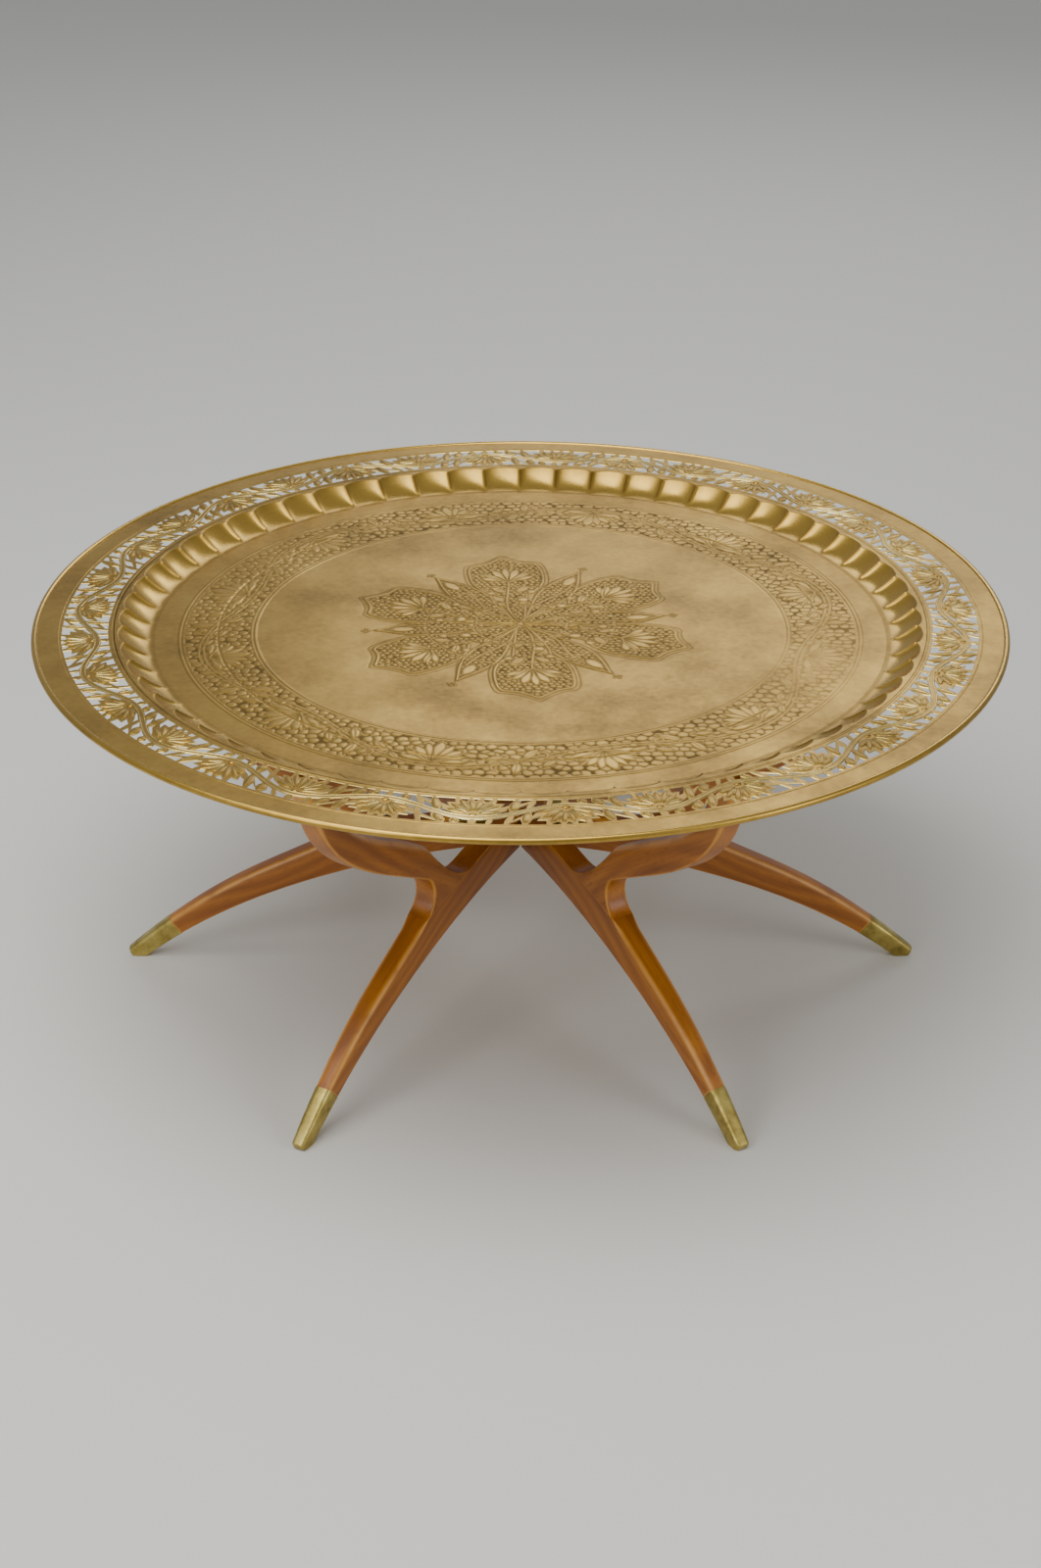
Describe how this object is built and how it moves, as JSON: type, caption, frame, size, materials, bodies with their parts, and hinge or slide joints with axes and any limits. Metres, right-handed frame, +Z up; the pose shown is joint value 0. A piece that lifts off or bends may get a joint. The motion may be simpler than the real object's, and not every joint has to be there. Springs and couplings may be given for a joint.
{
  "type": "tray table",
  "caption": "Round pierced brass tray resting on a folding hardwood stand of six curved arms; the hinged arms fold flat against the middle frame and the tray lifts off.",
  "frame": {"origin": "on the floor, under the middle of the stand", "axes": "+Z up; +X along the middle frame; the wings named f are on the -Y side, those named l on the -X side"},
  "size_m": [1.016, 1.016, 0.4253],
  "materials": {
    "rail_wood": "honey-orange hardwood with a worn satin lacquer",
    "leg_wood": "reddish-brown hardwood with a worn satin lacquer",
    "hinge_brass": "dull, slightly tarnished brass",
    "ferrule_brass": "dull brass, worn brighter on its edges",
    "tray_brass": "engraved and pierced sheet brass with an aged satin patina"
  },
  "bodies": {
    "centre_frame": {"centre_top_rail": "rail_wood", "centre_arch": "leg_wood", "centre_bracket_left": "leg_wood", "centre_bracket_right": "leg_wood", "centre_ferrule_left": "ferrule_brass", "centre_ferrule_right": "ferrule_brass", "frame_upper_leaf_fl": "hinge_brass", "frame_lower_leaf_fl": "hinge_brass", "upper_hinge_pin_fl": "hinge_brass", "lower_hinge_pin_fl": "hinge_brass", "frame_upper_leaf_fr": "hinge_brass", "frame_lower_leaf_fr": "hinge_brass", "upper_hinge_pin_fr": "hinge_brass", "lower_hinge_pin_fr": "hinge_brass", "frame_upper_leaf_bl": "hinge_brass", "frame_lower_leaf_bl": "hinge_brass", "upper_hinge_pin_bl": "hinge_brass", "lower_hinge_pin_bl": "hinge_brass", "frame_upper_leaf_br": "hinge_brass", "frame_lower_leaf_br": "hinge_brass", "upper_hinge_pin_br": "hinge_brass", "lower_hinge_pin_br": "hinge_brass", "frame_screws": "hinge_brass"},
    "wing_fl": {"wing_fl_top_rail": "rail_wood", "wing_fl_bracket": "leg_wood", "wing_fl_leg": "leg_wood", "wing_fl_ferrule": "ferrule_brass", "wing_fl_upper_leaf": "hinge_brass", "wing_fl_lower_leaf": "hinge_brass", "wing_fl_screws": "hinge_brass"},
    "wing_fr": {"wing_fr_top_rail": "rail_wood", "wing_fr_bracket": "leg_wood", "wing_fr_leg": "leg_wood", "wing_fr_ferrule": "ferrule_brass", "wing_fr_upper_leaf": "hinge_brass", "wing_fr_lower_leaf": "hinge_brass", "wing_fr_screws": "hinge_brass"},
    "wing_bl": {"wing_bl_top_rail": "rail_wood", "wing_bl_bracket": "leg_wood", "wing_bl_leg": "leg_wood", "wing_bl_ferrule": "ferrule_brass", "wing_bl_upper_leaf": "hinge_brass", "wing_bl_lower_leaf": "hinge_brass", "wing_bl_screws": "hinge_brass"},
    "wing_br": {"wing_br_top_rail": "rail_wood", "wing_br_bracket": "leg_wood", "wing_br_leg": "leg_wood", "wing_br_ferrule": "ferrule_brass", "wing_br_upper_leaf": "hinge_brass", "wing_br_lower_leaf": "hinge_brass", "wing_br_screws": "hinge_brass"},
    "tray": {"tray": "tray_brass", "tray_rim_wire": "tray_brass"}
  },
  "joints": [
    {"name": "fold_fl", "type": "hinge", "parent": "centre_frame", "child": "wing_fl", "pos_m": [-0.02733, -0.0137, 0.27], "axis": [0, 0, -1], "range_deg": [0, 60]},
    {"name": "fold_fr", "type": "hinge", "parent": "centre_frame", "child": "wing_fr", "pos_m": [0.02733, -0.0137, 0.27], "axis": [0, 0, 1], "range_deg": [0, 60]},
    {"name": "fold_bl", "type": "hinge", "parent": "centre_frame", "child": "wing_bl", "pos_m": [-0.02733, 0.0137, 0.27], "axis": [0, 0, 1], "range_deg": [0, 60]},
    {"name": "fold_br", "type": "hinge", "parent": "centre_frame", "child": "wing_br", "pos_m": [0.02733, 0.0137, 0.27], "axis": [0, 0, -1], "range_deg": [0, 60]},
    {"name": "tray_lift", "type": "slide", "parent": "centre_frame", "child": "tray", "axis": [0, 0, 1], "range_m": [0, 0.3]}
  ]
}
